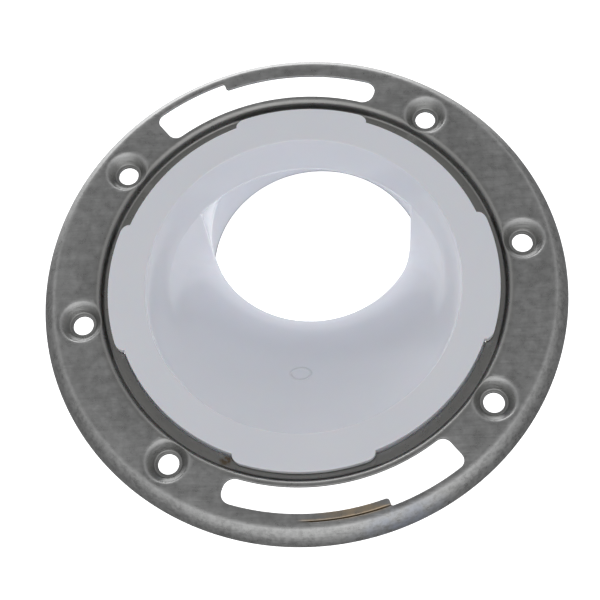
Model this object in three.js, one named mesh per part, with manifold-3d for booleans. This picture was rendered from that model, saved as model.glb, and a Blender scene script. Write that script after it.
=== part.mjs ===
// Offset toilet flange: a moulded PVC body and the stamped stainless ring that swivels on its rim.
//
// Millimetres, +Z up. The Z axis is the swivel axis, z = 0 is the finished floor that the ring's
// outer edge stands on, and +Y points from the bowl towards the offset drain hub.

import * as THREE from "three";
import { mergeVertices } from "three/addons/utils/BufferGeometryUtils.js";
import Module from "manifold-3d";

const INCH = 25.4;

// Ring: one sheet, stamped so that its inner lip is recessed and its outer skirt curls down to the
// floor, leaving the flat at a slope in degrees.
const SHEET = 1.1;
const RING_OUTER_R = 89.7;
const RING_FLAT_Z = 6.3;
const RING_BEND_R = 0.9;
const LIP_INNER_R = 64.9;
const LIP_Z = 2.7;
const RISER_FOOT_R = 68.6;
const RISER_HEAD_R = 69.7;
const SKIRT_HEAD_R = 85.2;
const SKIRT_SLOPE = 36;
const RING_REST_TURN = 9.5;

// Ring: closet-bolt slots and floor-screw holes share one circle.
const BOLT_CIRCLE_R = 3 * INCH;
const SLOT_INNER_R = 71.7;
const SLOT_NARROW_R = 80.3;
const SLOT_WIDE_R = 83.2;
const SLOT_ANGLES = [60.4, 100, 119.6];
const SLOT_NARROW_CORNER = 3.8;
const SLOT_WIDE_CORNER = 3.2;
const SLOT_COUNT = 2;
const SCREW_HOLE_R = 3.5;
const SCREW_ANGLES = [0, 45, 135, 180, 225, 315];
const DIMPLE_LAND_R = 4.5;
const DIMPLE_RIM_R = 7.3;
const DIMPLE_EDGE_R = 9.3;
const DIMPLE_LAND_Z = 2.7;
const DIMPLE_FOOT_BEND_R = 0.6;
const DIMPLE_RIM_BEND_R = 1.2;

// Body: rim, with lobes over the ring's lip and snap tabs under it.
const RUNNING_GAP = 0.3;
const RIM_TOP_Z = 6.1;
const RIM_OUTER_R = 64.4;
const RIM_INNER_R = 50;
const RIM_EDGE = 0.4;
const LOBE_OUTER_R = 66.7;
const LOBE_COUNT = 4;
const LOBE_HALF_ANGLE = 21;
const LOBE_CORNER = 3.6;
const LOBE_INNER_R = 60;
const TAB_OUTER_R = 66.4;
const TAB_HALF_ANGLE = 23.7;
const TAB_CORNER = 1;
const TAB_INNER_R = 56;
const TAB_DEPTH = 3.4;

// Body: the bowl opens at the rim, narrows along its sloping floor and drops into the throat.
const BOWL_TOP_R = 53.9;
const FLOOR_TOP_Z = 4.6;
const BOWL_BACK_R = 51.7;
const BOWL_BACK_Z = -12;
const WALL_SIDEWAYS = 3.5;
const WALL_UPRIGHT = 3;
const BOWL_OUTER_R = 57.4;
const SHELL_TOP_Z = 1;
const FLOOR_RUN = 72.4;
const FLOOR_CURL = 8;
const THROAT_Z = -58;

// Body: drain hub, which goes over a 3 in pipe or into a 4 in pipe.
const HUB_OFFSET = 51.5;
const PASSAGE_R = 41;
const PASSAGE_OUTER_R = 45.6;
const STOP_Z = -62;
const SOCKET_R = 1.752 * INCH;
const HUB_OUTER_R = 2 * INCH;
const HUB_SHOULDER_Z = -57.5;
const HUB_END_Z = -97;
const HUB_CHAMFER = 1;

const TURN_STEPS = 72;
const DIMPLE_STEPS = 20;
const LOFT_ROWS = 9;
const CURVE_STEPS = 5;
const BEND_STEPS = 2;
const SKIRT_STEPS = 4;
const CUT_PAST = 2;

const wasm = await Module();
wasm.setup();

const point = (x, y) => new THREE.Vector2(x, y);
const radians = THREE.MathUtils.degToRad;
const polar = (r, degrees) => point(r * Math.cos(radians(degrees)), r * Math.sin(radians(degrees)));

// A closed geometry as a solid, without the zero-area triangles that lie on a lathe's axis.
function solid(geometry) {
  geometry.deleteAttribute("normal");
  geometry.deleteAttribute("uv");
  const merged = mergeVertices(geometry);
  const corners = merged.index.array;
  const kept = [];
  for (let i = 0; i < corners.length; i += 3) {
    const [a, b, c] = corners.slice(i, i + 3);
    if (a !== b && b !== c && c !== a) kept.push(a, b, c);
  }
  return new wasm.Manifold(new wasm.Mesh({
    numProp: 3,
    vertProperties: new Float32Array(merged.attributes.position.array),
    triVerts: new Uint32Array(kept),
  }));
}

function meshOf(name, shape, material) {
  const { vertProperties, triVerts } = shape.getMesh();
  const geometry = new THREE.BufferGeometry();
  geometry.setAttribute("position", new THREE.BufferAttribute(new Float32Array(vertProperties), 3));
  geometry.setIndex(new THREE.BufferAttribute(new Uint32Array(triVerts), 1));
  geometry.computeVertexNormals();
  const mesh = new THREE.Mesh(geometry, material);
  mesh.name = name;
  return mesh;
}

// A profile of (radius, height) points turned about Z, counter-clockwise as seen with Z up.
function turned(profile, steps = TURN_STEPS) {
  return new THREE.LatheGeometry(profile, steps).rotateX(Math.PI / 2);
}

function closedProfile(points) {
  return [...points, points[0]];
}

function extruded(shape, bottom, top) {
  const options = { depth: top - bottom, bevelEnabled: false, curveSegments: CURVE_STEPS };
  return new THREE.ExtrudeGeometry(shape, options).translate(0, 0, bottom);
}

function cylinder(radius, bottom, top) {
  const profile = [point(0, bottom), point(radius, bottom), point(radius, top), point(0, top)];
  return turned(profile);
}

// A near-circular curve over a corner, from the shape's current point to another.
function roundCorner(shape, corner, to) {
  const bulge = 0.55;
  const leaving = shape.currentPoint.clone().lerp(corner, bulge);
  const arriving = to.clone().lerp(corner, bulge);
  shape.bezierCurveTo(leaving.x, leaving.y, arriving.x, arriving.y, to.x, to.y);
}

// The same solid at each of the angles about Z, joined.
function aroundZ(makeGeometry, degrees) {
  const copies = degrees.map((angle) => solid(makeGeometry().rotateZ(radians(angle))));
  return copies.reduce((all, one) => all.add(one));
}

function evenAngles(count, first = 0) {
  return Array.from({ length: count }, (_, i) => first + (i * 360) / count);
}

// A polyline moved to its right by a distance, with mitred corners.
function shiftedLine(line, distance) {
  const normals = line.slice(1).map((end, i) => {
    const along = end.clone().sub(line[i]).normalize();
    return point(along.y, -along.x);
  });
  return line.map((corner, i) => {
    const before = normals[Math.max(i - 1, 0)];
    const after = normals[Math.min(i, normals.length - 1)];
    const reach = distance / (1 + before.dot(after));
    return corner.clone().addScaledVector(before.clone().add(after), reach);
  });
}

// The polyline with each inner corner rounded, right turns and left turns by their own radius.
function roundedLine(line, rightTurnR, leftTurnR) {
  const path = new THREE.Path([line[0]]);
  for (let i = 1; i < line.length - 1; i += 1) {
    const into = line[i].clone().sub(line[i - 1]).normalize();
    const away = line[i + 1].clone().sub(line[i]).normalize();
    const radius = into.cross(away) < 0 ? rightTurnR : leftTurnR;
    const cut = radius * Math.tan(into.angleTo(away) / 2);
    const start = line[i].clone().addScaledVector(into, -cut);
    const end = line[i].clone().addScaledVector(away, cut);
    path.lineTo(start.x, start.y);
    path.quadraticCurveTo(line[i].x, line[i].y, end.x, end.y);
  }
  path.lineTo(line.at(-1).x, line.at(-1).y);
  return path.getPoints(BEND_STEPS);
}

// Ring ---------------------------------------------------------------------------------------

// The skirt's round outer stretch, a depth below its upper surface, from the flat to the floor.
function skirtArc(depth) {
  const first = radians(SKIRT_SLOPE);
  const last = 2 * Math.atan2(RING_FLAT_Z, RING_OUTER_R - SKIRT_HEAD_R) - first;
  const upperRadius = RING_FLAT_Z / (Math.cos(first) - Math.cos(last));
  const middle = polar(upperRadius, 90 - SKIRT_SLOPE);
  const centre = point(SKIRT_HEAD_R - middle.x, RING_FLAT_Z - middle.y);
  const radius = upperRadius - depth;
  const end = depth > 0 ? Math.acos(-centre.y / radius) : last;
  return Array.from({ length: SKIRT_STEPS + 1 }, (_, i) => {
    const slope = THREE.MathUtils.lerp(first, end, i / SKIRT_STEPS);
    return point(centre.x + radius * Math.sin(slope), centre.y + radius * Math.cos(slope));
  });
}

// One face of the ring's sheet, from its inner edge out to the floor.
function ringFace(depth) {
  const top = [
    point(LIP_INNER_R, LIP_Z),
    point(RISER_FOOT_R, LIP_Z),
    point(RISER_HEAD_R, RING_FLAT_Z),
    point(SKIRT_HEAD_R, RING_FLAT_Z),
    skirtArc(0)[1],
  ];
  const skirt = skirtArc(depth);
  const line = [...shiftedLine(top, depth).slice(0, -1), skirt[1]];
  const rightTurnR = RING_BEND_R + SHEET - depth;
  return [...roundedLine(line, rightTurnR, RING_BEND_R + depth), ...skirt.slice(2)];
}

function ringBlank() {
  return solid(turned(closedProfile([...ringFace(SHEET), ...ringFace(0).reverse()])));
}

// Everything outside the riser and below the ring's upper surface.
function ringEnvelope() {
  const upper = ringFace(0).filter(({ x }) => x > RISER_FOOT_R);
  return solid(turned(closedProfile([point(RISER_FOOT_R, 0), ...upper.reverse()])));
}

// One closet-bolt slot: an arc whose outer edge steps out near one end, with rounded corners.
function slotShape() {
  const [start, step, end] = SLOT_ANGLES;
  const turn = (length, r) => THREE.MathUtils.radToDeg(length / r);
  const shape = new THREE.Shape();
  const line = (p) => shape.lineTo(p.x, p.y);
  const arc = (r, from, to) => {
    shape.absarc(0, 0, r, radians(from), radians(to), from > to);
  };
  const startIn = start + turn(SLOT_NARROW_CORNER, SLOT_INNER_R);
  shape.moveTo(...polar(SLOT_INNER_R, startIn));
  arc(SLOT_INNER_R, startIn, end - turn(SLOT_WIDE_CORNER, SLOT_INNER_R));
  roundCorner(shape, polar(SLOT_INNER_R, end), polar(SLOT_INNER_R + SLOT_WIDE_CORNER, end));
  line(polar(SLOT_WIDE_R - SLOT_WIDE_CORNER, end));
  const wideEnd = end - turn(SLOT_WIDE_CORNER, SLOT_WIDE_R);
  roundCorner(shape, polar(SLOT_WIDE_R, end), polar(SLOT_WIDE_R, wideEnd));
  arc(SLOT_WIDE_R, wideEnd, step);
  line(polar(SLOT_NARROW_R, step));
  const narrowEnd = start + turn(SLOT_NARROW_CORNER, SLOT_NARROW_R);
  arc(SLOT_NARROW_R, step, narrowEnd);
  roundCorner(shape, polar(SLOT_NARROW_R, start), polar(SLOT_NARROW_R - SLOT_NARROW_CORNER, start));
  line(polar(SLOT_INNER_R + SLOT_NARROW_CORNER, start));
  roundCorner(shape, polar(SLOT_INNER_R, start), polar(SLOT_INNER_R, startIn));
  return shape;
}

// The pressed dish round a screw hole, as its upper surface from the hole out to the flat.
function dimpleTopLine() {
  return [
    point(SCREW_HOLE_R, DIMPLE_LAND_Z),
    point(DIMPLE_LAND_R, DIMPLE_LAND_Z),
    point(DIMPLE_RIM_R, RING_FLAT_Z),
    point(DIMPLE_EDGE_R, RING_FLAT_Z),
  ];
}

function dimpleBody() {
  const line = shiftedLine(dimpleTopLine(), SHEET);
  const under = roundedLine(line, DIMPLE_RIM_BEND_R, DIMPLE_FOOT_BEND_R + SHEET);
  const edge = under.at(-1).x;
  const onAxis = [point(0, under[0].y), ...under, point(edge, RING_FLAT_Z), point(0, RING_FLAT_Z)];
  return turned(onAxis, DIMPLE_STEPS).translate(BOLT_CIRCLE_R, 0, 0);
}

function dimpleSpace() {
  const rimBendR = DIMPLE_RIM_BEND_R + SHEET;
  const upper = roundedLine(dimpleTopLine(), rimBendR, DIMPLE_FOOT_BEND_R).slice(0, -1);
  const above = RING_FLAT_Z + CUT_PAST;
  const profile = [
    point(0, DIMPLE_LAND_Z - SHEET - CUT_PAST),
    point(SCREW_HOLE_R, DIMPLE_LAND_Z - SHEET - CUT_PAST),
    ...upper,
    point(upper.at(-1).x, above),
    point(0, above),
  ];
  return turned(profile, DIMPLE_STEPS).translate(BOLT_CIRCLE_R, 0, 0);
}

function swivelRing() {
  const slot = () => extruded(slotShape(), 0, RING_FLAT_Z + CUT_PAST);
  return ringBlank()
    .add(aroundZ(dimpleBody, SCREW_ANGLES).intersect(ringEnvelope()))
    .subtract(aroundZ(dimpleSpace, SCREW_ANGLES))
    .subtract(aroundZ(slot, evenAngles(SLOT_COUNT)));
}

// Body ---------------------------------------------------------------------------------------

// A stack of level circles: section(z) gives each circle's centre along Y and its radius.
function loft(section, bottom, top) {
  const geometry = new THREE.CylinderGeometry(1, 1, 1, TURN_STEPS, LOFT_ROWS).rotateX(Math.PI / 2);
  const places = geometry.attributes.position;
  for (let i = 0; i < places.count; i += 1) {
    const z = THREE.MathUtils.lerp(bottom, top, places.getZ(i) + 0.5);
    const { centre, radius } = section(z);
    places.setXYZ(i, places.getX(i) * radius, places.getY(i) * radius + centre, z);
  }
  return geometry;
}

// The bowl's floor: its front line runs down in a slope that steepens into the throat, while the
// circle through it shrinks from the bowl's mouth to the drain passage.
function floorSection(z) {
  const t = (FLOOR_TOP_Z - z) / (FLOOR_TOP_Z - THROAT_Z);
  const front = FLOOR_RUN * t - FLOOR_CURL * t ** 4 - BOWL_TOP_R;
  const radius = THREE.MathUtils.lerp(BOWL_TOP_R, PASSAGE_R, t);
  return { centre: front + radius, radius };
}

// The roof behind the bowl: a cone from the back wall's lower edge to the far side of the passage.
function roofSection(z) {
  const t = (BOWL_BACK_Z - z) / (BOWL_BACK_Z - STOP_Z);
  const radius = THREE.MathUtils.lerp(BOWL_BACK_R, PASSAGE_R, t);
  return { centre: HUB_OFFSET * t, radius };
}

// A section grown by the wall: sideways, and down under a floor or up over a roof.
function thickened(section, upwards) {
  return (z) => {
    const { centre, radius } = section(upwards ? z - WALL_UPRIGHT : z + WALL_UPRIGHT);
    return { centre, radius: radius + WALL_SIDEWAYS };
  };
}

function bowlMouth() {
  const profile = [
    point(0, STOP_Z),
    point(BOWL_BACK_R, STOP_Z),
    point(BOWL_BACK_R, BOWL_BACK_Z),
    point(BOWL_TOP_R, RIM_TOP_Z - 2 * RIM_EDGE),
    point(BOWL_TOP_R + RIM_EDGE, RIM_TOP_Z),
    point(BOWL_TOP_R + RIM_EDGE, RIM_TOP_Z + CUT_PAST),
    point(0, RIM_TOP_Z + CUT_PAST),
  ];
  return turned(profile);
}

function atHub(geometry) {
  return geometry.translate(0, HUB_OFFSET, 0);
}

function bowlSpace() {
  const floor = solid(loft(floorSection, THROAT_Z, FLOOR_TOP_Z));
  const above = solid(cylinder(BOWL_TOP_R + CUT_PAST, FLOOR_TOP_Z, RIM_TOP_Z + 2 * CUT_PAST));
  return floor.add(above).intersect(solid(bowlMouth()));
}

function passageSpace() {
  const passage = solid(atHub(cylinder(PASSAGE_R, STOP_Z - CUT_PAST, BOWL_BACK_Z)));
  const roof = solid(loft(roofSection, STOP_Z - CUT_PAST, BOWL_BACK_Z));
  const socket = solid(atHub(cylinder(SOCKET_R, HUB_END_Z - CUT_PAST, STOP_Z)));
  return passage.intersect(roof).add(socket);
}

function bowlShell() {
  const floor = solid(loft(thickened(floorSection, false), STOP_Z, SHELL_TOP_Z));
  const side = solid(cylinder(BOWL_OUTER_R, STOP_Z, SHELL_TOP_Z));
  const roof = solid(loft(thickened(roofSection, true), STOP_Z - CUT_PAST, SHELL_TOP_Z));
  const back = solid(atHub(cylinder(PASSAGE_OUTER_R, STOP_Z - CUT_PAST, SHELL_TOP_Z)));
  return floor.intersect(side).add(roof.intersect(back));
}

function hub() {
  const profile = [
    point(0, HUB_END_Z),
    point(HUB_OUTER_R - HUB_CHAMFER, HUB_END_Z),
    point(HUB_OUTER_R, HUB_END_Z + HUB_CHAMFER),
    point(HUB_OUTER_R, STOP_Z),
    point(PASSAGE_OUTER_R, HUB_SHOULDER_Z),
    point(0, HUB_SHOULDER_Z),
  ];
  return solid(atHub(turned(profile)));
}

// An arc-shaped block from inside the rim out to a radius, with round outer corners that take up
// a length of its outer edge and a reach of its sides.
function sectorShape(innerR, outerR, halfAngle, length, reach) {
  const corner = THREE.MathUtils.radToDeg(length / outerR);
  const shape = new THREE.Shape();
  shape.moveTo(...polar(innerR, -halfAngle));
  shape.lineTo(...polar(outerR - reach, -halfAngle));
  roundCorner(shape, polar(outerR, -halfAngle), polar(outerR, corner - halfAngle));
  shape.absarc(0, 0, outerR, radians(corner - halfAngle), radians(halfAngle - corner), false);
  roundCorner(shape, polar(outerR, halfAngle), polar(outerR - reach, halfAngle));
  shape.lineTo(...polar(innerR, halfAngle));
  return shape;
}

function rim() {
  const profile = [
    point(RIM_INNER_R, 0),
    point(RIM_OUTER_R, 0),
    point(RIM_OUTER_R, RIM_TOP_Z - RIM_EDGE),
    point(RIM_OUTER_R - RIM_EDGE, RIM_TOP_Z),
    point(RIM_INNER_R, RIM_TOP_Z),
  ];
  return solid(turned(closedProfile(profile)));
}

function lobes() {
  const reach = LOBE_OUTER_R - RIM_OUTER_R;
  const shape = sectorShape(LOBE_INNER_R, LOBE_OUTER_R, LOBE_HALF_ANGLE, LOBE_CORNER, reach);
  const lobe = () => extruded(shape, LIP_Z + RUNNING_GAP, RIM_TOP_Z);
  return aroundZ(lobe, evenAngles(LOBE_COUNT));
}

function snapTabs() {
  const top = LIP_Z - SHEET - RUNNING_GAP;
  const profile = [
    point(TAB_INNER_R, top - TAB_DEPTH),
    point(TAB_OUTER_R - TAB_DEPTH / 2, top - TAB_DEPTH),
    point(TAB_OUTER_R, top - TAB_DEPTH / 3),
    point(TAB_OUTER_R, top),
    point(TAB_INNER_R, top),
  ];
  const shape = sectorShape(RIM_INNER_R, TAB_OUTER_R, TAB_HALF_ANGLE, TAB_CORNER, TAB_CORNER);
  const sector = () => extruded(shape, top - TAB_DEPTH - CUT_PAST, top + CUT_PAST);
  const between = evenAngles(LOBE_COUNT, 180 / LOBE_COUNT);
  return solid(turned(closedProfile(profile))).intersect(aroundZ(sector, between));
}

function flangeBody() {
  return rim()
    .add(lobes())
    .add(snapTabs())
    .add(bowlShell())
    .add(hub())
    .subtract(bowlSpace())
    .subtract(passageSpace());
}

// Assembly -----------------------------------------------------------------------------------

const pvc = new THREE.MeshStandardMaterial({ color: 0xc6c9d2, roughness: 0.3, metalness: 0 });
const stainless = new THREE.MeshStandardMaterial({ color: 0x8a8986, roughness: 0.42, metalness: 1 });

const flange = new THREE.Group();
const ringTurn = new THREE.Group();
ringTurn.rotation.z = radians(RING_REST_TURN);
ringTurn.add(meshOf("swivel_ring", swivelRing(), stainless));
flange.add(meshOf("flange_body", flangeBody(), pvc));
flange.add(ringTurn);

export default flange;
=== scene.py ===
import math

import bpy
import numpy as np
from mathutils import Matrix, Vector
from mathutils.geometry import delaunay_2d_cdt


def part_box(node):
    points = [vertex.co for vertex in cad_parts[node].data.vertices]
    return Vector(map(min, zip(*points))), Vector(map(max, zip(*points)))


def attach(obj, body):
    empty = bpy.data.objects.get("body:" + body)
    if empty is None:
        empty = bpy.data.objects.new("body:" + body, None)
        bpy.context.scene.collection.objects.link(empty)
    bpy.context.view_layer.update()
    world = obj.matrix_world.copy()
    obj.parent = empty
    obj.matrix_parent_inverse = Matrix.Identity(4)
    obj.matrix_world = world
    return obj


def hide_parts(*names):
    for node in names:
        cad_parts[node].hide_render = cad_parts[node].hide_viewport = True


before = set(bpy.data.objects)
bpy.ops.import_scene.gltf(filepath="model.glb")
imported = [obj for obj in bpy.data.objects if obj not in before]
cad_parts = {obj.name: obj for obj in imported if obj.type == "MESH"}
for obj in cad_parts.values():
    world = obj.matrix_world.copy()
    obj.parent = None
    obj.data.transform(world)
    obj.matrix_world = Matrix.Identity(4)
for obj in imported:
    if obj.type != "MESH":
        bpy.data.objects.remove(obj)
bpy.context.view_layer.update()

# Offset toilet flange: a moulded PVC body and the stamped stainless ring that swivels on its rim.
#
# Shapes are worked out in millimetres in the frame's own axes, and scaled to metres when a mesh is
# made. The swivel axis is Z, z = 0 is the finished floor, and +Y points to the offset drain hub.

MM = 0.001

# Camera: the angle and distance that the object is seen from.
CAMERA_AZIMUTH = 9.8
CAMERA_ELEVATION = 67.2
CAMERA_ROLL = 11.0
CAMERA_DISTANCE = 449.3
CAMERA_AIM_RIGHT = -2.0
CAMERA_AIM_UP = -4.2
CAMERA_SENSOR = 36
CAMERA_LENS = 78.6

# Bowl and drain.
RIM_TOP_Z = 6.1
RIM_OUTER_R = 64.4
RIM_EDGE_R = 0.45
UNDERSIDE_RUN = 4.2
BOWL_TOP_R = 53.9
BOWL_BACK_R = 51.7
BOWL_BACK_Z = -12.0
BOWL_OUTER_R = 57.4
FLOOR_TOP_Z = 4.6
FLOOR_RUN = 72.4
FLOOR_CURL = 8.0
THROAT_Z = -58.0
WALL_SIDEWAYS = 3.5
WALL_UPRIGHT = 3.0
HUB_Y = 51.5
PASSAGE_R = 41.0
NECK_R = 45.6
NECK_Z = -57.5
STOP_Z = -62.0
SOCKET_R = 44.5
HUB_R = 50.8
HUB_END_Z = round(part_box("flange_body")[0].z / MM, 3)
HUB_CHAMFER = 1.0

# Lobes that hold the ring down, and the snap tabs under it.
LOBE_REACH = 2.3
LOBE_HALF_ANGLE = 21.0
LOBE_UNDER_Z = 3.0
LOBE_CORNER_R = 3.6
TAB_REACH = 2.0
TAB_HALF_ANGLE = 24.4
TAB_TOP_Z = 1.3
TAB_BOTTOM_Z = -2.1
TAB_CORNER_R = 0.3
QUARTER = 90.0

# Swivel ring.
SHEET = 1.1
RING_TURN = 9.5
RING_R = 89.69
RING_FLAT_Z = 6.3
RING_BEND_R = 0.9
LIP_R = 64.9
LIP_Z = 2.7
RISER_FOOT_R = 68.6
RISER_HEAD_R = 69.7
RISER_CLEAR_R = RISER_HEAD_R + 2
SKIRT_HEAD_R = 85.2
SKIRT_SLOPE = 36.0
BOLT_CIRCLE_R = 76.2
SLOT_INNER_R = 71.7
SLOT_NARROW_R = 80.3
SLOT_WIDE_R = 83.2
SLOT_START = 60.4
SLOT_STEP = 100.0
SLOT_END = 119.6
SLOT_NARROW_CORNER_R = 3.8
SLOT_WIDE_CORNER_R = 3.2
SLOT_TIP_R = 1.1
SLOT_NOTCH_R = 0.5
SCREW_ANGLES = (0, 45, 135, 180, 225, 315)
SCREW_HOLE_R = 3.5
DISH_LAND_R = 4.5
DISH_RIM_R = 7.3
DISH_LAND_Z = 2.7
DISH_FOOT_BEND_R = 0.6
DISH_RIM_BEND_R = 1.2

# Studio light: grey levels by height (0 straight down, 1 straight up), then patches that multiply
# them: a direction, and (nearness, factor) steps from far off it to right at it.
SKY_LEVELS = ((0, 0.22), (0.44, 0.26), (0.5, 0.42), (0.6, 0.5), (0.85, 0.59), (1, 0.70))
CEILING_PATCH = ((0.0, 0.39, 0.92), ((0.78, 1.0), (0.9, 0.72), (0.97, 0.45), (1.0, 0.4)))
FRONT_PATCH = ((0.1, -0.87, 0.48), ((0.5, 1.0), (0.78, 1.7), (1.0, 2.0)))
BACKDROP_PATCH = ((-0.22, 0.94, -0.28), ((0.7, 1.0), (0.86, 3.6), (1.0, 7.0)))
THROAT_FILL = 1.15
DRAIN_GLOW = 0.3
DRAIN_GLEAM = 0.28

# Marks: the moulding gate on the bowl's floor, and on the ring the scored arc and other places.
GATE_MARK = (-2.6, -24.5, -24)
GATE_SIZE = (4.6, 4.6, 9)
SCORE_R = 82.9
SCORE_MIDDLE = (14.5, -81.2, 6)
HEATED_PLACE = (17, -80.2, 6)
BLUED_PLACE = (31, -83, 2)
RESIDUE_PLACE = (-24.8, -60.6, 2.7)
NICK_PLACE = (-73.6, 49.6, 2)


# Small helpers ------------------------------------------------------------------------------


def smooth_min(a, b, blend):
    overlap = np.clip(blend - np.abs(a - b), 0, None) / blend
    return np.minimum(a, b) - overlap**2 * blend / 4


def smooth_max(a, b, blend):
    return -smooth_min(-a, -b, blend)


def smooth_step(x):
    x = np.clip(x, 0, 1)
    return x * x * (3 - 2 * x)


def lerp(a, b, t):
    return a + (b - a) * t


def polar(radius, degrees):
    turn = np.radians(degrees)
    return np.stack([radius * np.cos(turn), radius * np.sin(turn)], axis=-1)


def mesh_piece(name, points, faces, material, body, node):
    """A smooth-shaded piece that rides on a CAD body and stands for a CAD node."""
    mesh = bpy.data.meshes.new(name)
    mesh.from_pydata((np.asarray(points) * MM).tolist(), [], faces)
    mesh.polygons.foreach_set("use_smooth", [True] * len(mesh.polygons))
    mesh.materials.append(material)
    mesh.validate()
    piece = bpy.data.objects.new(name, mesh)
    bpy.context.scene.collection.objects.link(piece)
    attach(piece, body)
    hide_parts(node)
    return piece


# Flange body --------------------------------------------------------------------------------
#
# One closed skin: each column runs down the bowl and the drain, round the hub's end, up the outside
# and back over the rim. A level section of the inside is the union of the bowl (floor circle and
# mouth circle) with the drain (passage circle and roof circle), seen from a point on the Y axis.


def seen_distance(angle, eye_y, centre_y, radius):
    """How far a ray from (0, eye_y) goes to a circle on the Y axis, or 0 from outside it."""
    aside = centre_y - eye_y
    along = aside * np.sin(angle)
    reach = along + np.sqrt(np.clip(radius**2 - aside**2 + along**2, 0, None))
    return np.where(np.abs(aside) < radius, reach, 0)


def eye_y(z):
    """The point that a level section is seen from: the swivel axis at the rim, further in below."""
    return 30 * np.clip((RIM_TOP_Z - z) / (RIM_TOP_Z - BOWL_BACK_Z), 0, 1)


def column_direction(turn, z):
    """The direction from the eye to the bowl wall's point at an angle of turn round the rim."""
    wall = polar(BOWL_BACK_R, turn)
    return np.arctan2(wall[..., 1] - eye_y(z), wall[..., 0])


def mouth_radius(z):
    slope = (BOWL_TOP_R - BOWL_BACK_R) / (RIM_TOP_Z - BOWL_BACK_Z)
    return BOWL_BACK_R + slope * np.clip(z - BOWL_BACK_Z, 0, None)


def floor_circle(z):
    t = (FLOOR_TOP_Z - z) / (FLOOR_TOP_Z - THROAT_Z)
    front = FLOOR_RUN * t - FLOOR_CURL * t**4 - BOWL_TOP_R
    radius = lerp(BOWL_TOP_R, PASSAGE_R, t)
    above = np.clip(z - FLOOR_TOP_Z, 0, None)
    return np.where(above > 0, 0, front + radius), radius + 3 * above


def roof_circle(z):
    t = (BOWL_BACK_Z - z) / (BOWL_BACK_Z - STOP_Z)
    return HUB_Y * t, lerp(BOWL_BACK_R, PASSAGE_R, t)


def inside_distance(turn, z):
    """From the eye to the surface of the bowl and drain."""
    eye, angle = eye_y(z), column_direction(turn, z)
    valley = 0.6 + 8 * smooth_step((3.5 - z) / 16)
    mouth = seen_distance(angle, eye, 0, mouth_radius(z))
    bowl = smooth_min(seen_distance(angle, eye, *floor_circle(z)), mouth, valley)
    passage = seen_distance(angle, eye, HUB_Y, PASSAGE_R)
    fillet = 0.3 + 2.5 * smooth_step((BOWL_BACK_Z - z) / 12) * smooth_step((z - STOP_Z) / 8)
    drain = smooth_min(passage, seen_distance(angle, eye, *roof_circle(z)), fillet)
    drain = np.where(z > BOWL_BACK_Z + 3, 0, drain)
    return smooth_max(bowl, drain, 1.4)


def outside_distance(turn, z):
    """From the eye to the outside of the bowl's shell, the drain's shell and the hub."""
    eye, angle = eye_y(z), column_direction(turn, z)
    floor_y, floor_r = floor_circle(z + WALL_UPRIGHT)
    roof_y, roof_r = roof_circle(z - WALL_UPRIGHT)
    side = seen_distance(angle, eye, 0, BOWL_OUTER_R)
    bowl = smooth_min(seen_distance(angle, eye, floor_y, floor_r + WALL_SIDEWAYS), side, 4)
    back = seen_distance(angle, eye, HUB_Y, NECK_R)
    drain = smooth_min(seen_distance(angle, eye, roof_y, roof_r + WALL_SIDEWAYS), back, 2)
    shoulder = lerp(NECK_R, HUB_R, (NECK_Z - z) / (NECK_Z - STOP_Z))
    ledge = NECK_R - 10 * (z - NECK_Z)
    hub_r = np.where(z > NECK_Z, ledge, np.clip(shoulder, NECK_R, HUB_R))
    hub = seen_distance(angle, eye, HUB_Y, np.clip(hub_r, 1, None))
    return smooth_max(smooth_max(bowl, drain, 4), hub, 1.2)


def section_points(turn, z, distance):
    angle = column_direction(turn, z)
    return np.stack([distance * np.cos(angle), eye_y(z) + distance * np.sin(angle), z], axis=-1)


def hub_circle(turn, radius, z):
    """Points of a circle round the hub, in the columns' directions."""
    level = np.full_like(turn, z)
    reach = seen_distance(column_direction(turn, level), eye_y(level), HUB_Y, radius)
    return section_points(turn, level, reach)


def rim_circle(turn, radius, z):
    flat = polar(radius, turn)
    return np.concatenate([flat, np.broadcast_to(z, turn.shape)[:, None]], axis=1)


def throat_corner_angle():
    """Where the drain passage's circle crosses the bowl's back wall, seen from the swivel axis."""
    y = (BOWL_BACK_R**2 - PASSAGE_R**2 + HUB_Y**2) / (2 * HUB_Y)
    return math.degrees(math.asin(y / BOWL_BACK_R))


def column_turns():
    """Angles of the skin's columns: even, and closer at the throat corners, lobes and tabs."""
    corner = throat_corner_angle()
    close = [lerp(c - 2.4, c + 2.4, np.linspace(0, 1, 25)) for c in (corner, 180 - corner)]
    for quarter in range(4):
        for side in (-1, 1):
            lobe_end = np.linspace(LOBE_HALF_ANGLE - 3.3, LOBE_HALF_ANGLE + 0.1, 22)
            tab_end = np.linspace(TAB_HALF_ANGLE - 1.2, TAB_HALF_ANGLE + 0.1, 10)
            close += [quarter * QUARTER + side * lobe_end, (quarter + 0.5) * QUARTER + side * tab_end]
    close = np.concatenate(close) % 360
    even = np.arange(0, 360, 0.75)
    apart = np.abs((even[:, None] - close + 180) % 360 - 180).min(axis=1)
    return np.sort(np.concatenate([even[apart > 0.3], close]))


def tooth_reach(turn, first, half_angle, outer_r, corner_r):
    """How far out a rounded tooth of four reaches at each angle, from 0 beside it to 1 along it."""
    away = np.abs((turn - first + QUARTER / 2) % QUARTER - QUARTER / 2)
    inward = np.radians(half_angle - away) * outer_r
    bend = np.clip(inward / corner_r, 0, 1)
    return np.sqrt(1 - (1 - bend) ** 2)


def arc_steps(count):
    """Sine and cosine of even steps through a right angle, without its ends."""
    angles = np.linspace(0, math.pi / 2, count + 2)[1:-1]
    return list(zip(np.sin(angles), np.cos(angles)))


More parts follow.
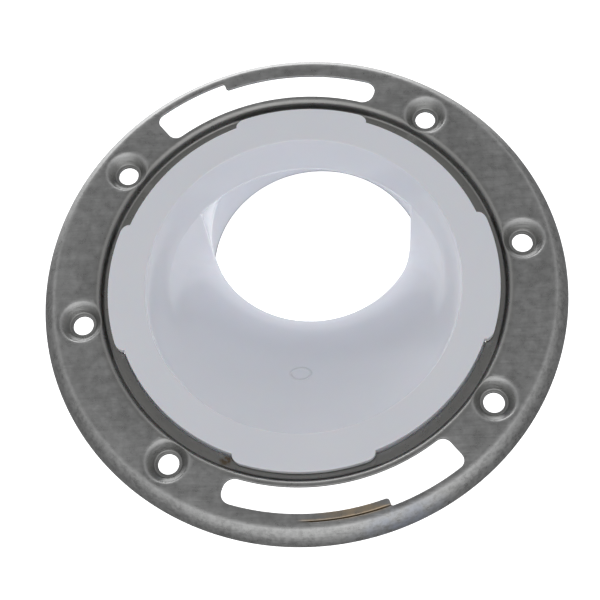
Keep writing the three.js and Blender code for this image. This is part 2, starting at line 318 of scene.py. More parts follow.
# Rows down the rim's side, first past the lobes and then past the tabs under them. Each row has its
# height where there is no lobe or tab, its height where there is one, and the share of the reach.
LOBE_SIDE = (
    (5.6, 5.6, 1), (5.0, 5.0, 1), (4.2, 4.2, 1), (3.7, 3.3, 1), (3.5, 3.15, 0.99),
    (3.4, 3.04, 0.95), (3.3, LOBE_UNDER_Z, 0.88), (3.1, LOBE_UNDER_Z, 0.5),
    (2.9, LOBE_UNDER_Z, 0.12), (2.6, 2.85, 0), (2.4, 2.5, 0),
)
TAB_SIDE = (
    (2.0, 2.0, 0), (1.7, 1.5, 0), (1.5, TAB_TOP_Z, 0.1), (1.3, TAB_TOP_Z, 0.5),
    (1.1, TAB_TOP_Z, 0.88), (0.9, 1.22, 0.97), (0.8, 1.0, 1), (0.7, 0.7, 1), (0.6, 0.3, 1),
    (0.5, 0.1, 0.97), (0.3, TAB_BOTTOM_Z + 0.3, 0.2), (0.1, TAB_BOTTOM_Z + 0.07, 0.05),
)


def side_rows(table, reach, present):
    """Radii and heights of a table's rows, for a reach and a presence (0 to 1) at each angle."""
    rows = []
    for plain_z, tooth_z, share in table:
        rows.append((RIM_OUTER_R + reach * share, lerp(plain_z, tooth_z, present)))
    return rows


def rim_top_rows(outer):
    """Radii and heights from the rim's inner edge over its top to its outer edge."""
    edge = RIM_EDGE_R
    inner = mouth_radius(RIM_TOP_Z - edge) + edge
    rows = [(inner - edge * c, RIM_TOP_Z - edge + edge * s) for s, c in arc_steps(4)]
    rows += [(inner + out, RIM_TOP_Z) for out in (0, 0.2, 3, 6.5)]
    rows += [(RIM_OUTER_R - 0.8, RIM_TOP_Z), (outer - edge - 0.1, RIM_TOP_Z)]
    return rows + [(outer - edge + edge * s, RIM_TOP_Z - edge + edge * c) for s, c in arc_steps(5)]


def rim_rows(turn):
    """Rows from the rim's inner edge over its top, lobes and tabs to its underside."""
    lobe = tooth_reach(turn, 0, LOBE_HALF_ANGLE, RIM_OUTER_R + LOBE_REACH, LOBE_CORNER_R)
    tab = tooth_reach(turn, QUARTER / 2, TAB_HALF_ANGLE, RIM_OUTER_R + TAB_REACH, TAB_CORNER_R)
    with_lobe, with_tab = np.clip(lobe * 6, 0, 1), np.clip(tab * 6, 0, 1)
    rows = rim_top_rows(RIM_OUTER_R + LOBE_REACH * lobe)
    rows += side_rows(LOBE_SIDE, LOBE_REACH * lobe, with_lobe)
    rows += side_rows(TAB_SIDE, TAB_REACH * tab, with_tab)
    under_z = TAB_BOTTOM_Z * with_tab
    rows += [(RIM_OUTER_R - inwards, under_z) for inwards in (0.25, 0.6, 2.5, UNDERSIDE_RUN)]
    return [rim_circle(turn, r, z) for r, z in rows], under_z


def shell_rows(turn, under_z):
    """Rows from the rim's underside, round a fillet and down the shell to the hub's shoulder."""
    fillet_z = under_z - 3
    corner = section_points(turn, under_z, outside_distance(turn, under_z))
    foot = section_points(turn, fillet_z, outside_distance(turn, fillet_z))
    edge = rim_circle(turn, RIM_OUTER_R - UNDERSIDE_RUN - 0.2, under_z)
    rows = []
    for t in np.linspace(0.12, 0.92, 8):
        rows.append(edge * (1 - t) ** 2 + corner * 2 * t * (1 - t) + foot * t**2)
    even = np.linspace(0, 1, 60)
    heights = [lerp(fillet_z, NECK_Z + 0.6, t) for t in even]
    ledge = np.linspace(NECK_Z + 0.5, NECK_Z, 6)
    shoulder = np.linspace(NECK_Z - 0.3, STOP_Z, 9)
    heights += [np.full_like(turn, z) for z in (*ledge, *shoulder)]
    return rows + [section_points(turn, z, outside_distance(turn, z)) for z in heights]


def hub_rows(turn):
    """Rows down the outside of the hub, over its chamfered end and up its socket to the pipe stop."""
    soft, end = 0.25, HUB_END_Z
    rows = [hub_circle(turn, HUB_R, z) for z in np.linspace(STOP_Z - 0.5, end + HUB_CHAMFER + soft, 10)]
    rows += [
        hub_circle(turn, HUB_R - 0.06, end + HUB_CHAMFER),
        hub_circle(turn, HUB_R - 0.2, end + HUB_CHAMFER - 0.22),
        hub_circle(turn, HUB_R - HUB_CHAMFER + 0.2, end + 0.22),
        hub_circle(turn, HUB_R - HUB_CHAMFER, end + 0.05),
        hub_circle(turn, HUB_R - HUB_CHAMFER - soft, end),
        hub_circle(turn, SOCKET_R + soft * 2, end),
    ]
    rows += [hub_circle(turn, SOCKET_R + soft * (1 - s), end + soft * (1 - c)) for s, c in arc_steps(3)]
    rows += [hub_circle(turn, SOCKET_R, z) for z in np.linspace(end + soft * 2, STOP_Z - soft * 2, 10)]
    rows += [hub_circle(turn, SOCKET_R - soft * (1 - c), STOP_Z - soft * (1 - s)) for s, c in arc_steps(3)]
    rows += [hub_circle(turn, r, STOP_Z) for r in (SOCKET_R - soft * 2, PASSAGE_R + soft * 2)]
    rows += [hub_circle(turn, PASSAGE_R + soft * (1 - s), STOP_Z + soft * (1 - c)) for s, c in arc_steps(3)]
    return rows


def drain_rows(turn):
    """Rows up the drain passage and the bowl, from the pipe stop to the rim's inner edge."""
    edge = BOWL_BACK_Z
    heights = np.concatenate([
        np.linspace(STOP_Z + 0.4, THROAT_Z - 1.2, 5),
        np.linspace(THROAT_Z - 1, THROAT_Z + 1, 9),
        np.linspace(THROAT_Z + 1.4, edge - 2, 62),
        np.linspace(edge - 1.8, edge + 1.8, 25),
        np.linspace(edge + 2.2, 3, 22),
        np.linspace(3.2, RIM_TOP_Z - RIM_EDGE_R, 11),
    ])
    levels = [np.full_like(turn, z) for z in heights]
    return [section_points(turn, z, inside_distance(turn, z)) for z in levels]


def wrapped_grid_faces(rows, columns):
    """Quads of a grid that closes on itself both ways."""
    row, column = np.meshgrid(np.arange(rows), np.arange(columns), indexing="ij")
    next_row, next_column = (row + 1) % rows, (column + 1) % columns
    corners = [row * columns + column, next_row * columns + column,
               next_row * columns + next_column, row * columns + next_column]
    return np.stack(corners, axis=-1).reshape(-1, 4).tolist()


def make_flange_body(material):
    turn = column_turns()
    rim, under_z = rim_rows(turn)
    rows = rim + shell_rows(turn, under_z) + hub_rows(turn) + drain_rows(turn)
    faces = wrapped_grid_faces(len(rows), len(turn))
    points = np.concatenate(rows)
    return mesh_piece("flange_body_skin", points, faces, material, "flange", "flange_body")


# Swivel ring --------------------------------------------------------------------------------
#
# Both faces of the sheet are height fields over the plan: the turned profile, pressed down by the
# dishes round the screw holes. Their edges are rolled over a little and joined by the cut walls.


def filleted(line, right_turn_r, left_turn_r, steps=7):
    """The polyline with round corners, right turns and left turns by their own radius."""
    line = [np.array(p, float) for p in line]
    points = [line[0]]
    for before, corner, after in zip(line, line[1:], line[2:]):
        into = (corner - before) / np.linalg.norm(corner - before)
        away = (after - corner) / np.linalg.norm(after - corner)
        cross = into[0] * away[1] - into[1] * away[0]
        bend = math.atan2(cross, into @ away)
        radius = right_turn_r if cross < 0 else left_turn_r
        start = corner - into * radius * math.tan(abs(bend) / 2)
        side = np.array([-into[1], into[0]]) * math.copysign(radius, cross)
        for angle in np.linspace(0, bend, steps):
            c, s = math.cos(angle), math.sin(angle)
            spoke = -side
            turned = np.array([spoke[0] * c - spoke[1] * s, spoke[0] * s + spoke[1] * c])
            points.append(start + side + turned)
    return np.array(points + [line[-1]])


def under_line(line, thickness):
    """The polyline moved down by the sheet's thickness, square to each stretch."""
    line = np.array(line, float)
    along = np.diff(line, axis=0)
    along /= np.linalg.norm(along, axis=1)[:, None]
    normals = np.stack([along[:, 1], -along[:, 0]], axis=1)
    before = np.concatenate([normals[:1], normals])
    after = np.concatenate([normals, normals[-1:]])
    mitre = (before + after) / (1 + (before * after).sum(axis=1))[:, None]
    return line + mitre * thickness


RING_TOP = [(LIP_R, LIP_Z), (RISER_FOOT_R, LIP_Z), (RISER_HEAD_R, RING_FLAT_Z)]
DISH_TOP = [(0, DISH_LAND_Z), (DISH_LAND_R, DISH_LAND_Z), (DISH_RIM_R, RING_FLAT_Z),
            (DISH_RIM_R + 3, RING_FLAT_Z)]


def skirt_arc(depth):
    """The skirt's round outer stretch, a depth below its upper surface, from the flat to z = 0."""
    run, drop = RING_R - SKIRT_HEAD_R, RING_FLAT_Z
    first = math.radians(SKIRT_SLOPE)
    last = 2 * math.atan2(drop, run) - first
    radius = drop / (math.cos(first) - math.cos(last))
    centre = np.array([SKIRT_HEAD_R - radius * math.sin(first), RING_FLAT_Z - radius * math.cos(first)])
    if depth:
        radius -= depth
        last = math.acos(-centre[1] / radius)
    slope = np.linspace(first, last, 10)
    return centre + radius * np.stack([np.sin(slope), np.cos(slope)], axis=1)


def ring_profiles(under):
    """The ring's and a dish's (radius, height) lines for one face of the sheet."""
    top, dish = [*RING_TOP, *skirt_arc(0)[:2]], DISH_TOP
    bends, dish_bends = (RING_BEND_R + SHEET, RING_BEND_R), (DISH_RIM_BEND_R + SHEET, DISH_FOOT_BEND_R)
    arc = skirt_arc(SHEET if under else 0)
    if under:
        top, dish = under_line(top, SHEET), under_line(dish, SHEET)
        top[-1] = arc[1]
        bends, dish_bends = bends[::-1], (DISH_RIM_BEND_R, DISH_FOOT_BEND_R + SHEET)
    return np.concatenate([filleted(top, *bends)[:-1], arc[1:]]), filleted(dish, *dish_bends)


def dish_centres():
    return polar(BOLT_CIRCLE_R, np.array(SCREW_ANGLES, float))


def dish_distance(plan):
    return np.linalg.norm(plan[:, None] - dish_centres(), axis=2).min(axis=1)


def face_height(plan, under):
    ring, dish = ring_profiles(under)
    turned = np.interp(np.hypot(*plan.T), *ring.T)
    pressed = np.interp(dish_distance(plan), *dish.T)
    return np.where(np.abs(turned - pressed) < 1e-6, turned, smooth_min(turned, pressed, 0.25))


def arc_points(radius, start, end, spacing):
    steps = max(2, int(abs(math.radians(end - start)) * radius / spacing))
    return polar(radius, np.linspace(start, end, steps + 1))


def rounded_loop(stretches, corner_radii, spacing=0.35):
    """A closed outline from stretches of points, with a round curve over each of its corners."""
    loop = []
    for i, stretch in enumerate(stretches):
        after = stretches[(i + 1) % len(stretches)]
        corner, radius = stretch[-1], corner_radii[i]
        into = stretch[-1] - stretch[-2]
        away = after[1] - after[0]
        back = -into / np.linalg.norm(into) * radius
        on = away / np.linalg.norm(away) * radius
        turn = np.linspace(0, math.pi / 2, max(5, int(radius * 1.6 / spacing)))[:, None]
        loop += [stretch[1:-1], corner + back * (1 - np.sin(turn)) + on * (1 - np.cos(turn))]
    return np.concatenate(loop)


def trimmed(stretch, start_cut, end_cut):
    """A stretch without the points that the curves over its two corners take the place of."""
    from_start = np.linalg.norm(stretch - stretch[0], axis=1)
    from_end = np.linalg.norm(stretch - stretch[-1], axis=1)
    kept = (from_start > start_cut + 0.1) & (from_end > end_cut + 0.1)
    return np.concatenate([stretch[:1], stretch[kept], stretch[-1:]])


def slot_end(degrees, from_r, to_r):
    """A straight radial stretch of a slot's outline."""
    return np.linspace(polar(from_r, degrees), polar(to_r, degrees), 8)


def slot_loop(turn):
    """The outline of a closet-bolt slot, counter-clockwise, with its step near one end."""
    start, step, end = SLOT_START + turn, SLOT_STEP + turn, SLOT_END + turn
    spacing = 0.7
    stretches = [
        arc_points(SLOT_NARROW_R, start, step, spacing),
        slot_end(step, SLOT_NARROW_R, SLOT_WIDE_R),
        arc_points(SLOT_WIDE_R, step, end, spacing),
        slot_end(end, SLOT_WIDE_R, SLOT_INNER_R),
        arc_points(SLOT_INNER_R, end, start, spacing),
        slot_end(start, SLOT_INNER_R, SLOT_NARROW_R),
    ]
    radii = [SLOT_TIP_R, SLOT_NOTCH_R, SLOT_WIDE_CORNER_R, SLOT_WIDE_CORNER_R]
    radii += [SLOT_NARROW_CORNER_R, SLOT_NARROW_CORNER_R]
    cut = [trimmed(s, radii[i - 1], radii[i]) for i, s in enumerate(stretches)]
    return rounded_loop(cut, radii)


def circle_loop(centre, radius, count):
    return centre + polar(radius, np.arange(count) * 360 / count)


def offset_loop(loop, distance):
    """A closed counter-clockwise outline moved outwards by a small distance."""
    along = np.roll(loop, -1, axis=0) - np.roll(loop, 1, axis=0)
    along /= np.linalg.norm(along, axis=1)[:, None]
    return loop + np.stack([along[:, 1], -along[:, 0]], axis=1) * distance


def ring_edges(under):
    """The sheet's cut edges as (outline, direction of the metal from the outline)."""
    ring, _ = ring_profiles(under)
    around = 720
    edges = [(circle_loop(0, ring[0][0], around), 1), (circle_loop(0, ring[-1][0], around), -1)]
    edges += [(slot_loop(turn), 1) for turn in (0, 180)]
    edges += [(circle_loop(centre, SCREW_HOLE_R, 72), 1) for centre in dish_centres()]
    return edges


def inside_loop(plan, loop):
    """Whether each point is inside a closed outline, by counting crossings."""
    after = np.roll(loop, -1, axis=0)
    crossings = np.zeros(len(plan), int)
    for a, b in zip(loop, after):
        if a[1] == b[1]:
            continue
        between = (a[1] > plan[:, 1]) != (b[1] > plan[:, 1])
        x = a[0] + (plan[:, 1] - a[1]) * (b[0] - a[0]) / (b[1] - a[1])
        crossings += between & (plan[:, 0] < x)
    return crossings % 2 == 1


def rows_with_guards(profile):
    """Radii of the profile's points, with more rows on the riser and just inside each flat."""
    radii = [profile[1:-1, 0]]
    for (r0, z0), (r1, z1) in zip(profile[:-1], profile[1:]):
        if abs(z1 - z0) > 1:
            radii.append(np.linspace(r0, r1, 4)[1:-1])
        elif r1 - r0 > 1.5:
            radii.append([r0 + 0.2, r1 - 0.2])
    return np.unique(np.round(np.concatenate(radii), 4))


def dish_rings(dish, reach):
    """Points on circles round each screw hole, out to a dish's reach, clear of the riser."""
    rings = []
    for centre in dish_centres():
        rings += [circle_loop(centre, d, 84) for d in (*dish[2:-1, 0], *np.linspace(5.2, 6.2, 3), reach)]
    rings = np.concatenate(rings)
    return rings[np.hypot(*rings.T) > RISER_CLEAR_R]


def riser_points(reach):
    """A fine lattice where the dishes run into the riser."""
    fine = []
    for degrees in SCREW_ANGLES:
        for r in np.arange(RISER_FOOT_R - 0.4, RISER_CLEAR_R, 0.22):
            fine.append(polar(r, degrees + np.arange(-7, 7, 0.2)))
    fine = np.concatenate(fine)
    return fine[dish_distance(fine) < reach]


def field_points(under):
    """Points of one face between its edges: rows along the bends and rings round the dishes."""
    ring, dish = ring_profiles(under)
    turns = np.arange(0, 360, 0.6)
    rows = [polar(r, turns + 0.3 * (i % 2)) for i, r in enumerate(rows_with_guards(ring))]
    lattice = np.concatenate(rows)
    reach = dish[-2][0] + 0.25
    lattice = lattice[dish_distance(lattice) > reach + 0.15]
    return np.concatenate([lattice, dish_rings(dish, reach), riser_points(reach)])


def nearest_distance(plan, outlines):
    """A close estimate of each point's distance to the nearest outline point."""
    near = np.full(len(plan), 1e9)
    for loop in outlines:
        for start in range(0, len(plan), 4000):
            block = plan[start:start + 4000]
            gap = np.linalg.norm(block[:, None] - loop, axis=2).min(axis=1)
            near[start:start + 4000] = np.minimum(near[start:start + 4000], gap)
    return near


# The sheet's edge rolls over: how far in from the cut, and how far the face falls there.
EDGE_ROLL = ((0.0, 0.12), (0.05, 0.035), (0.16, 0.0))


def edge_lines(edges):
    """Points of the rolled edges, their falls, the lines that join them, and each cut's own points."""
    plan, falls, links, borders = [], [], [], []
    count = 0
    for loop, metal in edges:
        for inwards, fall in EDGE_ROLL:
            ids = np.arange(count, count + len(loop))
            plan.append(offset_loop(loop, inwards * metal))
            falls.append(np.full(len(loop), fall))
            links += list(zip(ids.tolist(), np.roll(ids, -1).tolist()))
            count += len(loop)
            if inwards == 0:
                borders.append(ids)
    return np.concatenate(plan), np.concatenate(falls), links, borders


def clear_of_edges(field, outlines):
    """The field's points that are in the metal and not too near its edges."""
    inner, outer, *holes = outlines
    radius = np.hypot(*field.T)
    clear = (radius > inner[0][0] + 0.3) & (radius < outer[0][0] - 0.3)
    for loop in holes:
        clear &= ~inside_loop(field, loop)
    clear &= nearest_distance(field, holes) > 0.4
    return field[clear]


def in_metal(plan, outlines):
    """Whether each point is between the ring's two edges and outside its holes."""
    inner, outer, *holes = outlines
    metal = inside_loop(plan, outer) & ~inside_loop(plan, inner)
    for loop in holes:
        metal &= ~inside_loop(plan, loop)
    return metal


def sheet_face(under):
    """One face of the sheet: its points, its triangles, and each edge's points in order."""
    edges = ring_edges(under)
    outlines = [loop for loop, _ in edges]
    rolled, falls, links, borders = edge_lines(edges)
    plan = np.concatenate([rolled, clear_of_edges(field_points(under), outlines)])
    falls = np.concatenate([falls, np.zeros(len(plan) - len(rolled))])
    made = delaunay_2d_cdt([Vector(p) for p in plan.tolist()], links, [], 0, 1e-7)
    found, triangles, sources = np.array([tuple(v) for v in made[0]]), np.array(made[2]), made[3]
    fall = np.array([falls[s[0]] if s else 0.0 for s in sources])
    place = {source: i for i, several in enumerate(sources) for source in several}
    borders = [[place[i] for i in ids] for ids in borders]
    kept = in_metal(found[triangles].mean(axis=1), outlines)
    height = face_height(found, under) + (fall if under else -fall)
    return np.column_stack([found, height]), triangles[kept], borders


def turned_about_z(points, degrees):
    c, s = math.cos(math.radians(degrees)), math.sin(math.radians(degrees))
    x, y, z = points.T
    return np.column_stack([x * c - y * s, x * s + y * c, z])


def make_swivel_ring(material):
    top, top_faces, top_borders = sheet_face(under=False)
    bottom, bottom_faces, bottom_borders = sheet_face(under=True)
    shift = len(top)
    faces = top_faces.tolist() + (bottom_faces[:, ::-1] + shift).tolist()
    for i, (upper, lower) in enumerate(zip(top_borders, bottom_borders)):
        outwards = i == 1
        for k in range(len(upper)):
            a, b = upper[k - 1], upper[k]
            c, d = lower[k] + shift, lower[k - 1] + shift
            faces.append([d, c, b, a] if outwards else [a, b, c, d])
    points = np.concatenate([top, bottom])
    points[:, 2] = np.clip(points[:, 2], 0, None)
    points = turned_about_z(points, RING_TURN)
    return mesh_piece("swivel_ring_skin", points, faces, material, "ring", "swivel_ring")


# Materials ----------------------------------------------------------------------------------


class Nodes:
    """A node tree, with short calls for the nodes used here."""

    def __init__(self, owner, place):
        owner.use_nodes = True
        self.tree = owner.node_tree
        self.place = self.add("ShaderNodeTexCoord").outputs[place]

    def add(self, kind, settings=None, inputs=None):
        node = self.tree.nodes.new(kind)
        for key, value in (settings or {}).items():
            setattr(node, key, value)
        for key, value in (inputs or {}).items():
            if isinstance(value, bpy.types.NodeSocket):
                self.tree.links.new(value, node.inputs[key])
            else:
                node.inputs[key].default_value = value
        return node

    def mapped(self, location, rotation, scale, kind="POINT"):
        inputs = {"Vector": self.place, "Location": location, "Rotation": rotation, "Scale": scale}
        return self.add("ShaderNodeMapping", {"vector_type": kind}, inputs).outputs["Vector"]

    def noise(self, size, detail, roughness=0.5):
        """Noise whose blobs are about size metres across."""
        inputs = {"Vector": self.place, "Scale": 1 / size, "Detail": detail, "Roughness": roughness}
        return self.add("ShaderNodeTexNoise", None, inputs).outputs["Fac"]

    def ramp(self, value, low, high, from_low=0.0, from_high=1.0):
        """The value moved from one range to another and held inside it."""
        inputs = {"Value": value, "From Min": from_low, "From Max": from_high}
        inputs |= {"To Min": low, "To Max": high}
        return self.add("ShaderNodeMapRange", None, inputs).outputs["Result"]

    def maths(self, operation, a, b=0.0):
        return self.add("ShaderNodeMath", {"operation": operation}, {0: a, 1: b}).outputs[0]

    def mix(self, factor, a, b):
        """A colour between two others."""
        node = self.add("ShaderNodeMix", {"data_type": "RGBA"}, {"Factor": factor})
        for socket, value in (("A", a), ("B", b)):
            target = next(s for s in node.inputs if s.name == socket and s.type == "RGBA")
            if isinstance(value, bpy.types.NodeSocket):
                self.tree.links.new(value, target)
            else:
                target.default_value = (*value, 1)
        return next(s for s in node.outputs if s.type == "RGBA")

    def spot(self, centre, size, turn=0.0):
        """1 at a place in millimetres, falling to 0 at the edge of an ellipsoid round it."""
        location = tuple(c * MM for c in centre)
        scale = tuple(s * MM for s in size)
        vector = self.mapped(location, (0, 0, math.radians(turn)), scale, kind="TEXTURE")
        gradient = self.add("ShaderNodeTexGradient", {"gradient_type": "SPHERICAL"}, {"Vector": vector})
        return gradient.outputs["Fac"]

    def bump(self, height, strength, distance, normal=None):
        inputs = {"Height": height, "Strength": strength, "Distance": distance}
        if normal is not None:
            inputs["Normal"] = normal
        return self.add("ShaderNodeBump", None, inputs).outputs["Normal"]


class Surface(Nodes):
    """A new material's nodes, with the shader that they feed."""

    def __init__(self, name):
        self.material = bpy.data.materials.new(name)
        super().__init__(self.material, "Object")
        self.shader = self.tree.nodes["Principled BSDF"]

    def finish(self, **sockets):
        """Set the shader's sockets to nodes or to plain values."""
        for name, value in sockets.items():
            socket = self.shader.inputs[name.replace("_", " ")]
            if isinstance(value, bpy.types.NodeSocket):
                self.tree.links.new(value, socket)
            else:
                socket.default_value = value
        return self.material


PVC = (0.76, 0.775, 0.825)
PVC_PALER = (0.78, 0.792, 0.838)
PVC_MARKED = (0.60, 0.61, 0.65)


def pvc_material():
    n = Surface("white_pvc")
    clouds = n.noise(0.03, detail=2)
    colour = n.mix(n.ramp(clouds, 0, 1, 0.3, 0.7), PVC, PVC_PALER)
    roughness = n.ramp(n.noise(0.009, detail=4), 0.07, 0.13, 0.3, 0.7)
    grain = n.bump(n.noise(0.0007, detail=2), 0.04, 0.00005)
    waves = n.bump(n.noise(0.018, detail=1), 0.10, 0.0004, normal=grain)
    from_edge = n.maths("SUBTRACT", n.spot(GATE_MARK, GATE_SIZE), 0.17)
    gate_edge = n.ramp(n.maths("ABSOLUTE", from_edge), 1, 0, 0.0, 0.13)
    colour = n.mix(n.maths("MULTIPLY", gate_edge, 0.45), colour, PVC_MARKED)
    mark = n.bump(gate_edge, 0.9, -0.0003, normal=waves)
    return n.finish(
        Base_Color=colour, Roughness=roughness, Normal=mark, IOR=1.53,
        Subsurface_Weight=0.15, Subsurface_Scale=0.002,
    )


def streaks(n, place, turn, width, longer, low, high):
    """Lines along one direction, from 0 between them to 1 on them; longer is their length to width."""
    scale = (1 / (width * longer), 1 / width, 1 / width)
    vector = n.mapped((place, 0, 0), (0, 0, math.radians(turn)), scale)
    lines = n.add("ShaderNodeTexNoise", None, {"Vector": vector, "Scale": 1.0, "Detail": 2.0})
    return n.ramp(lines.outputs["Fac"], 0, 1, low, high)


def away_from_axis(n):
    """Distance from the swivel axis."""
    plan = n.add("ShaderNodeVectorMath", {"operation": "MULTIPLY"}, {0: n.place, 1: (1, 1, 0)})
    return n.add("ShaderNodeVectorMath", {"operation": "LENGTH"}, {0: plan.outputs[0]}).outputs["Value"]


def scored_line(n, radius, half_width, edge):
    """An arc near the ring's front edge, from 0 beside it to 1 on it."""
    off_line = n.maths("ABSOLUTE", n.maths("SUBTRACT", away_from_axis(n), radius * MM))
    line = n.ramp(off_line, 1, 0, half_width * MM, (half_width + edge) * MM)
    along = n.ramp(n.spot(SCORE_MIDDLE, (19, 9, 9), -10), 0, 1, 0.0, 0.25)
    return n.maths("MULTIPLY", line, along)


def in_dishes(n):
    """1 at the screw holes, falling to 0 at the edges of their dishes."""
    total = None
    for x, y in polar(BOLT_CIRCLE_R, np.array(SCREW_ANGLES, float) + RING_TURN):
        spot = n.spot((x, y, DISH_LAND_Z), (DISH_RIM_R + 0.9,) * 3)
        total = spot if total is None else n.maths("MAXIMUM", total, spot)
    return total


STEEL_DARK = (0.355, 0.355, 0.35)
STEEL_PALE = (0.465, 0.465, 0.46)
STEEL_BRUSHED = (0.33, 0.33, 0.325)
STEEL_PITTED = (0.29, 0.29, 0.282)
STEEL_SCRATCHED = (0.62, 0.62, 0.61)
# Painted shade: grey for the darkened groove and riser shoulder.
STEEL_GROOVE_SHADE = (0.305, 0.302, 0.288)
# Painted shade: grey for the darkened dishes.
STEEL_DISH_SHADE = (0.27, 0.27, 0.262)
# Painted sheen: paler grey for the skirt's speckles.
STEEL_SPECKLED_SHEEN = (0.56, 0.56, 0.55)
STEEL_BLUED = (0.46, 0.50, 0.60)
STEEL_STRAW = (0.53, 0.42, 0.29)
SCORE_GLINT = (0.78, 0.61, 0.42)
SCORE_BURNT = (0.09, 0.065, 0.04)
RESIDUE_BROWN = (0.16, 0.115, 0.07)


def tinted(n, colour, mask, amount, tint):
    """The colour taken towards a tint where the mask is 1."""
    return n.mix(n.maths("MULTIPLY", mask, amount), colour, tint)


def sheet_grey(n, patches, mottle, fine, brushing):
    """Patchy, brushed and scratched bare sheet."""
    cloud = n.maths("ADD", n.maths("MULTIPLY", patches, 0.55), n.maths("MULTIPLY", mottle, 0.45))
    grey = n.mix(n.ramp(cloud, 0, 1, 0.40, 0.60), STEEL_DARK, STEEL_PALE)
    grey = tinted(n, grey, brushing, 0.3, STEEL_BRUSHED)
    grey = tinted(n, grey, n.ramp(fine, 0, 1, 0.52, 0.72), 0.35, STEEL_PITTED)
    for place, turn, width in ((0.3, -62, 0.00022), (0.8, 40, 0.0002)):
        grey = tinted(n, grey, streaks(n, place, turn, width, 70, 0.70, 0.76), 0.3, STEEL_SCRATCHED)
    return grey


def pressed_areas(n, grey, mottle):
    """Painted shade in the groove, over the riser's shoulder and in the dishes, and a painted sheen of
    paler speckles on the skirt.
    """
    radius = away_from_axis(n)
    # Painted shade: the groove and the riser's shoulder are taken darker, as shade in this deep groove
    # beside the rim.
    groove = n.ramp(radius, 1, 0, 0.0692, 0.0722)
    grey = tinted(n, grey, groove, n.ramp(mottle, 0.8, 1, 0.4, 0.6), STEEL_GROOVE_SHADE)
    # Painted shade: the dishes are taken darker towards the screw holes, as shade in these hollows.
    grey = tinted(n, grey, n.ramp(in_dishes(n), 0, 1, 0.12, 0.38), 0.75, STEEL_DISH_SHADE)
    # Painted sheen: the skirt is taken paler in random speckles, standing in for its speckled highlight.
    skirt = n.ramp(radius, 0, 1, 0.0848, 0.0862)
    speckle = n.noise(0.0016, detail=4, roughness=0.7)
    return tinted(n, grey, skirt, n.ramp(speckle, 0, 0.55, 0.42, 0.58), STEEL_SPECKLED_SHEEN)


def heat_marks(n, grey, mottle, score):
    """The scored line by the front slot, with straw and blue tints round it, and a brown residue."""
    blued = n.ramp(n.spot(BLUED_PLACE, (20, 7, 9), 20), 0, 1, 0.0, 0.8)
    grey = tinted(n, grey, blued, n.ramp(mottle, 0.1, 0.7, 0.4, 0.6), STEEL_BLUED)
    beside_slot = n.ramp(away_from_axis(n), 1, 0, 0.0828, 0.0838)
    heated = n.ramp(n.spot(HEATED_PLACE, (17, 5, 9), -11), 0, 1, 0.0, 0.4)
    heated = n.maths("MULTIPLY", heated, beside_slot)
    grey = tinted(n, grey, heated, n.ramp(mottle, 0.45, 0.85, 0.35, 0.6), STEEL_STRAW)
    glint = scored_line(n, SCORE_R - 0.45, 0.14, 0.3)
    grey = tinted(n, grey, glint, n.ramp(mottle, 0.25, 0.7, 0.4, 0.6), SCORE_GLINT)
    grey = tinted(n, grey, score, 1.0, SCORE_BURNT)
    residue = n.spot(RESIDUE_PLACE, (4, 3, 3), 22)
    residue = n.maths("MULTIPLY", residue, n.ramp(mottle, 0, 1, 0.4, 0.6))
    return tinted(n, grey, n.ramp(residue, 0, 1, 0.1, 0.4), 0.9, RESIDUE_BROWN)


def stainless_material():
    n = Surface("stainless_sheet")
    patches = n.noise(0.011, detail=5, roughness=0.62)
    mottle = n.noise(0.0032, detail=5, roughness=0.62)
    fine = n.noise(0.0006, detail=3, roughness=0.6)
    brushing = streaks(n, 0.1, 35, 0.0009, 14, 0.46, 0.62)
    score = scored_line(n, SCORE_R, 0.2, 0.25)
    grey = sheet_grey(n, patches, mottle, fine, brushing)
    grey = pressed_areas(n, grey, mottle)
    grey = heat_marks(n, grey, mottle, score)

    nick = n.ramp(n.spot(NICK_PLACE, (3.2, 1.3, 3), -56), 0, 1, 0.15, 0.5)
    polish = n.ramp(mottle, 0.27, 0.38, 0.35, 0.65)
    roughness = n.maths("ADD", polish, n.ramp(fine, -0.03, 0.03, 0.3, 0.7))
    grain = n.bump(fine, 0.2, 0.00006)
    dents = n.bump(mottle, 0.16, 0.00025, normal=grain)
    waves = n.bump(patches, 0.10, 0.0007, normal=dents)
    brushed = n.bump(brushing, 0.12, -0.00012, normal=waves)
    marks = n.bump(n.maths("ADD", score, nick), 0.5, -0.0003, normal=brushed)
    return n.finish(Base_Color=grey, Metallic=1.0, Roughness=roughness, Normal=marks)


# Stage --------------------------------------------------------------------------------------


def glowing_stage(name, points, faces, strength, seen_by):
    """A pale stage mesh that glows from its front towards one kind of ray: camera or light."""
    mesh = bpy.data.meshes.new(name)
    mesh.from_pydata([tuple(c * MM for c in p) for p in points], [], faces)
    n = Surface(name)
    tone = n.mix(n.noise(0.4, detail=3), (0.9, 0.9, 0.9), (0.92, 0.92, 0.92))
    n.finish(Base_Color=tone, Roughness=0.9, Emission_Color=(1, 1, 1, 1), Emission_Strength=strength)
    behind = n.add("ShaderNodeNewGeometry").outputs["Backfacing"]
    clear = n.add("ShaderNodeBsdfTransparent").outputs[0]
    either = n.add("ShaderNodeMixShader", None, {0: behind, 1: n.shader.outputs[0], 2: clear})
    n.tree.links.new(either.outputs[0], n.tree.nodes["Material Output"].inputs["Surface"])
    mesh.materials.append(n.material)
    piece = bpy.data.objects.new(name, mesh)
    bpy.context.scene.collection.objects.link(piece)
    for rays in ("camera", "diffuse", "glossy", "transmission", "shadow"):
        setattr(piece, "visible_" + rays, rays == seen_by)


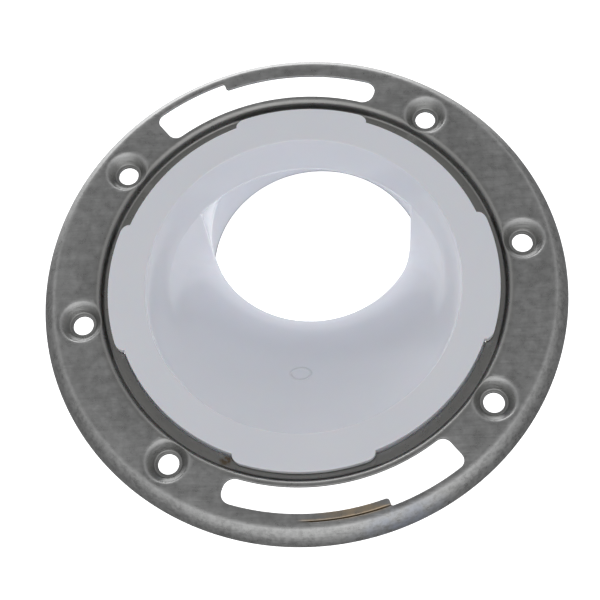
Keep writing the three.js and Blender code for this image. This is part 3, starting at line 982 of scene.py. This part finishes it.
def make_floor():
    """The pale floor that the hub's end stands on, and the pale wall and top far round it."""
    z, size = HUB_END_Z - 0.5, 9000
    floor = [(-size, -size, z), (size, -size, z), (size, size, z), (-size, size, z)]
    glowing_stage("studio_floor", floor, [(0, 1, 2, 3)], 1.0, "camera")
    ring = polar(size * 0.9, np.arange(0, 360, 10))
    low = [(x, y, -size) for x, y in ring]
    high = [(x * 0.01, y * 0.01, size) for x, y in ring]
    count = len(ring)
    faces = [(i, i + count, (i + 1) % count + count, (i + 1) % count) for i in range(count)]
    glowing_stage("studio_wall", low + high, faces, 1.0, "camera")


def make_drain_light():
    """White light off the floor, coming up through the hub, most of it from the front part."""
    for name, first_turn, last_turn, z, strength, seen_by in (
        ("throat_fill", 150, 390, STOP_Z - 9, THROAT_FILL, "diffuse"),
        ("drain_glow", 0, 354, HUB_END_Z + 0.3, DRAIN_GLOW, "diffuse"),
        ("drain_gleam", 0, 354, HUB_END_Z + 0.6, DRAIN_GLEAM, "glossy"),
    ):
        turns = np.arange(first_turn, last_turn + 1, 6)
        disc = [(x, y + HUB_Y, z) for x, y in polar(SOCKET_R - 0.5, turns)]
        glowing_stage(name, disc, [tuple(range(len(disc)))], strength, seen_by)


def stepped(n, value, steps):
    """The value sent through straight stretches between (value, level) steps."""
    level = steps[0][1]
    for (x0, y0), (x1, y1) in zip(steps, steps[1:]):
        level = n.maths("ADD", n.ramp(value, 0, y1 - y0, x0, x1), level)
    return level


def make_world():
    """Soft studio light: grey levels by height, times a dark ceiling patch and two bright ones."""
    world = bpy.data.worlds.new("studio")
    bpy.context.scene.world = world
    n = Nodes(world, "Generated")
    up = n.add("ShaderNodeSeparateXYZ", None, {0: n.place}).outputs["Z"]
    glow = stepped(n, n.ramp(up, 0, 1, -1, 1), SKY_LEVELS)
    for direction, steps in (CEILING_PATCH, FRONT_PATCH, BACKDROP_PATCH):
        towards = n.add("ShaderNodeVectorMath", {"operation": "DOT_PRODUCT"}, {0: n.place, 1: direction})
        glow = n.maths("MULTIPLY", glow, stepped(n, towards.outputs["Value"], steps))
    background = n.tree.nodes["Background"]
    n.tree.links.new(glow, background.inputs["Strength"])
    background.inputs["Color"].default_value = (0.985, 0.99, 1, 1)


def camera_axes():
    """Right, up and backwards from a level camera at the viewing angle."""
    a, e = math.radians(CAMERA_AZIMUTH), math.radians(CAMERA_ELEVATION)
    back = Vector((math.sin(a) * math.cos(e), -math.cos(a) * math.cos(e), math.sin(e)))
    right = Vector((math.cos(a), math.sin(a), 0))
    return right, back.cross(right), back


def make_camera():
    right, up, back = camera_axes()
    data = bpy.data.cameras.new("camera")
    data.lens, data.sensor_width = CAMERA_LENS, CAMERA_SENSOR
    data.clip_start, data.clip_end = 0.01, 50
    camera = bpy.data.objects.new("camera", data)
    bpy.context.scene.collection.objects.link(camera)
    bpy.context.scene.camera = camera
    place = back * CAMERA_DISTANCE + right * CAMERA_AIM_RIGHT + up * CAMERA_AIM_UP
    roll = math.radians(CAMERA_ROLL)
    level = Matrix((right, up, back)).transposed()
    turned = level @ Matrix.Rotation(-roll, 3, "Z")
    camera.rotation_mode = "QUATERNION"
    camera.rotation_quaternion = turned.to_quaternion()
    camera.location = place * MM


make_flange_body(pvc_material())
make_swivel_ring(stainless_material())
make_floor()
make_drain_light()
make_world()
make_camera()
bpy.context.scene.view_settings.view_transform = "Standard"
